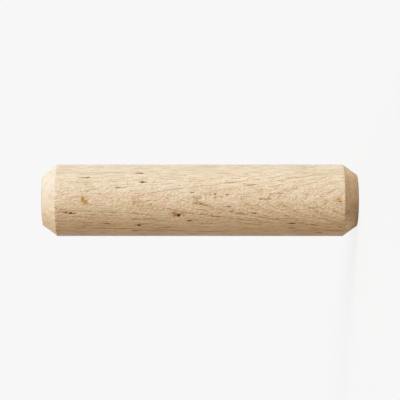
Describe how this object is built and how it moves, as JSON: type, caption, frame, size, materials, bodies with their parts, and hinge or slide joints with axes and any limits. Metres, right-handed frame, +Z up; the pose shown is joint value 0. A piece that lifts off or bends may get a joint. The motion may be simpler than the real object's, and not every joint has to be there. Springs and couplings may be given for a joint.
{
  "type": "dowel pin",
  "caption": "Smooth round wooden dowel pin with a chamfer at each end, pushed or glued into matching drilled holes to line up and join wooden parts.",
  "frame": {"origin": "centre of the lower end face, on which the pin stands", "axes": "+Z up the pin's axis from the lower end face to the upper one; X and Y square to it, alike all round"},
  "size_m": [0.008, 0.008, 0.035],
  "materials": {
    "beech": "matte"
  },
  "bodies": {
    "root": {"dowel_pin": "beech"}
  },
  "joints": []
}
